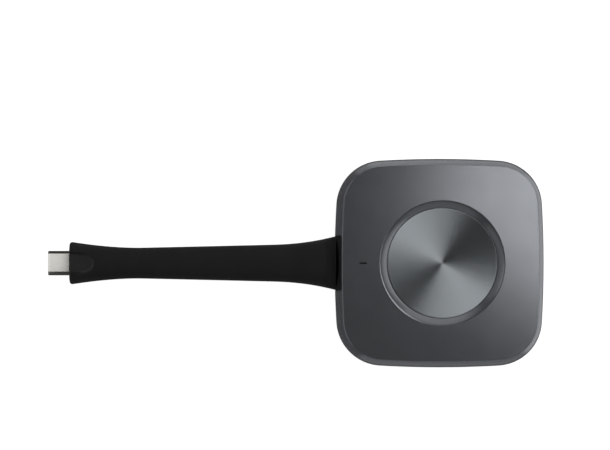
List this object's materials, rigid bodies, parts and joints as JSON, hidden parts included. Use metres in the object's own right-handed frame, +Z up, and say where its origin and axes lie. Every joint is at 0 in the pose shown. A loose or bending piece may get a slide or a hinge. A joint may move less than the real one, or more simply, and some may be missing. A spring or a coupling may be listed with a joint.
{
  "type": "wireless presentation dongle",
  "caption": "Rounded square metal-topped dongle with a round push button and a flat flexible tail that ends in a USB-C plug.",
  "frame": {"origin": "middle of the puck's footprint, on the surface that its foot pad rests on", "axes": "+Z up through the push button; the tail leaves towards -X and lies along the same surface; Y across"},
  "size_m": [0.1659, 0.0694, 0.016],
  "materials": {
    "cover_metal": "fine bead-blasted grey metal, satin",
    "button_metal": "spun metal with fine turning lines",
    "shell_plastic": "black moulded plastic, fine texture",
    "foot_rubber": "black matt rubber",
    "tail_rubber": "black soft-touch moulded elastomer",
    "inner_plastic": "black moulded plastic",
    "silicone": "grey silicone",
    "component_black": "black epoxy",
    "cream_plastic": "cream moulded plastic",
    "circuit_board": "green solder mask",
    "thermal_rubber": "soft grey-blue pad",
    "spreader_metal": "mill-finish sheet",
    "shield_metal": "tinned sheet",
    "cable_jacket": "black jacket",
    "clear_plastic": "clear moulded plastic",
    "plug_steel": "bright stainless sheet",
    "plug_plastic": "black moulded plastic",
    "screw_steel": "plated steel"
  },
  "bodies": {
    "housing": {"antenna_1": "circuit_board", "antenna_2": "circuit_board", "antenna_lead_1": "cable_jacket", "antenna_lead_2": "cable_jacket", "board_screw_1": "screw_steel", "board_screw_2": "screw_steel", "board_screw_3": "screw_steel", "board_screw_4": "screw_steel", "bottom_shell": "shell_plastic", "button_frame": "inner_plastic", "cable_clamp": "inner_plastic", "cable_header": "cream_plastic", "cable_socket": "cream_plastic", "case_screw_1": "screw_steel", "case_screw_2": "screw_steel", "case_screw_3": "screw_steel", "case_screw_4": "screw_steel", "clamp_screw_1": "screw_steel", "clamp_screw_2": "screw_steel", "flash_chip": "component_black", "foot_pad": "foot_rubber", "frame_screw_1": "screw_steel", "frame_screw_2": "screw_steel", "frame_screw_3": "screw_steel", "heat_spreader": "spreader_metal", "indicator_led": "cream_plastic", "inner_cable": "cable_jacket", "light_pipe": "clear_plastic", "main_board": "circuit_board", "memory_chip_1": "component_black", "memory_chip_2": "component_black", "plug_board": "circuit_board", "plug_insulator": "plug_plastic", "plug_latch": "plug_steel", "plug_shell": "plug_steel", "power_controller": "component_black", "power_inductor": "component_black", "processor": "component_black", "radio_shield": "shield_metal", "return_pad": "silicone", "switch_body": "component_black", "tail": "tail_rubber", "tail_collar": "shell_plastic", "thermal_pad": "thermal_rubber", "top_cover": "cover_metal"},
    "button": {"button_cap": "button_metal", "button_carrier": "inner_plastic"},
    "plunger": {"switch_plunger": "cream_plastic"}
  },
  "joints": [
    {"name": "button_press", "type": "slide", "parent": "housing", "child": "button", "axis": [0, 0, -1], "range_m": [0, 0.0006], "stiffness_N_per_m": 2500, "deforming": ["return_pad"]},
    {"name": "plunger_press", "type": "slide", "parent": "housing", "child": "plunger", "axis": [0, 0, -1], "range_m": [0, 0.0006]}
  ],
  "couplings": [
    {"joint": "plunger_press", "follows": "button_press", "ratio": 1}
  ]
}
